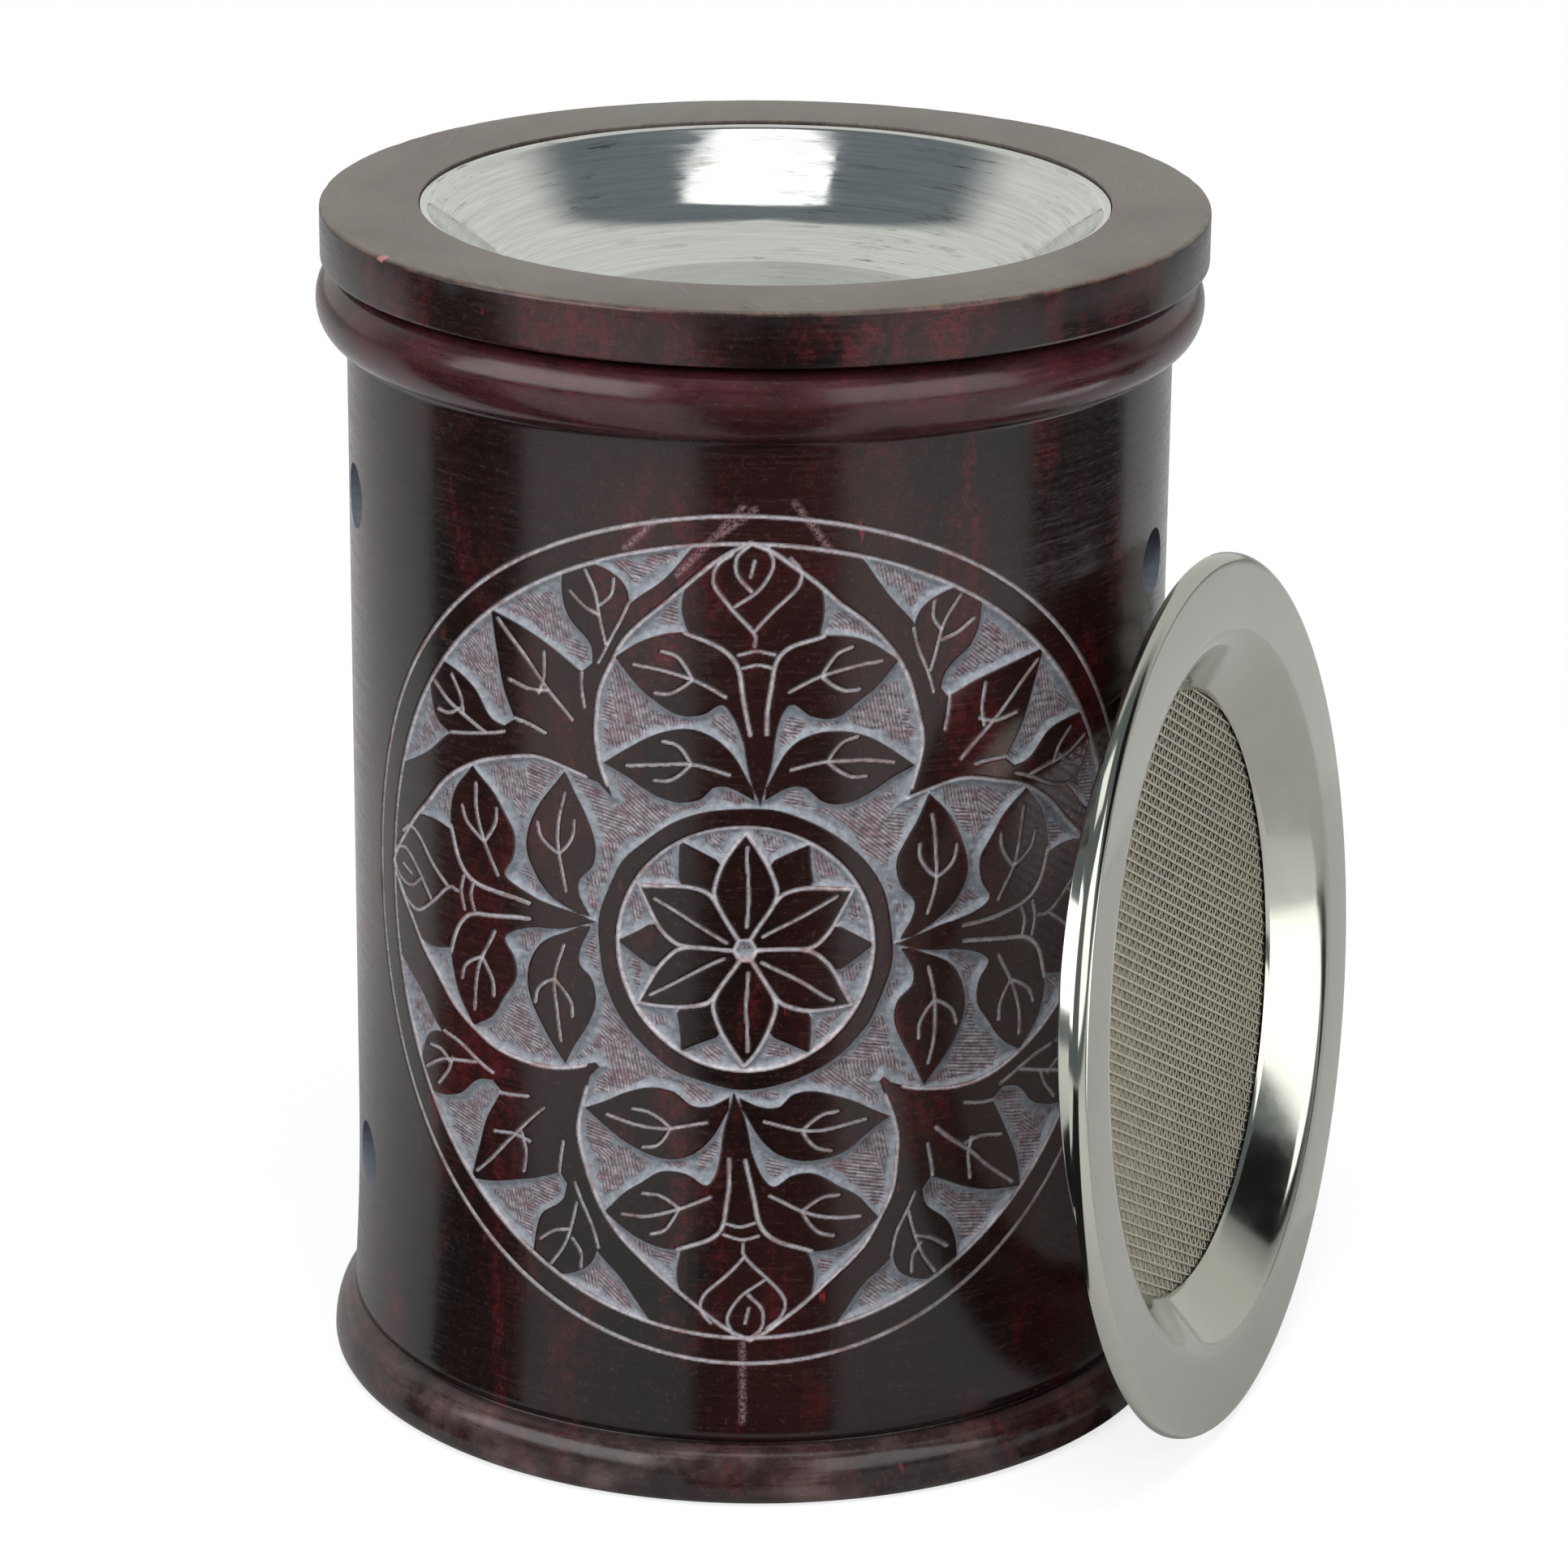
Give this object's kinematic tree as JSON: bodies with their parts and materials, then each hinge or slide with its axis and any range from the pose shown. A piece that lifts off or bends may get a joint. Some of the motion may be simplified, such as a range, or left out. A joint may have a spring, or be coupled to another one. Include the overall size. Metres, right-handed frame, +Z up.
{
  "type": "incense warmer",
  "caption": "Turned soapstone tumbler over a tea light, closed by a stone ring with an aluminium dish for incense, with a flanged steel sieve leaning against its vented wall.",
  "frame": {"origin": "centre of the underside of the stone body's foot", "axes": "+Z up along the axis of the body, -Y towards the carved front, +X towards the side where the sieve leans"},
  "size_m": [0.097, 0.0941, 0.1104],
  "materials": {
    "soapstone": "dyed dark red and black, waxed and polished, with pale carved lines",
    "dish_aluminium": "spun, with turning lines and scuffs",
    "sieve_steel": "pressed and polished",
    "sieve_wire": "woven wire",
    "cup_aluminium": "thin drawn foil",
    "wax": "paraffin wax, faintly translucent",
    "wick": "waxed cotton braid"
  },
  "bodies": {
    "body": {"stone_body": "soapstone"},
    "lid": {"lid_ring": "soapstone"},
    "dish": {"dish": "dish_aluminium"},
    "tealight": {"tealight_cup": "cup_aluminium", "tealight_wax": "wax", "tealight_wick": "wick", "wick_sustainer": "cup_aluminium"},
    "sieve": {"sieve_frame": "sieve_steel", "sieve_mesh": "sieve_wire", "sieve_retaining_ring": "sieve_steel"}
  },
  "joints": [
    {"name": "lid_lift", "type": "slide", "parent": "body", "child": "lid", "axis": [0, 0, 1], "range_m": [0, 0.08]},
    {"name": "dish_lift", "type": "slide", "parent": "lid", "child": "dish", "axis": [0, 0, 1], "range_m": [0, 0.04]},
    {"name": "tealight_lift", "type": "slide", "parent": "body", "child": "tealight", "axis": [0, 0, 1], "range_m": [0, 0.065]},
    {"name": "sieve_lift", "type": "slide", "parent": "body", "child": "sieve", "axis": [0.6552, -0.266, 0.7071], "range_m": [0, 0.08]}
  ]
}
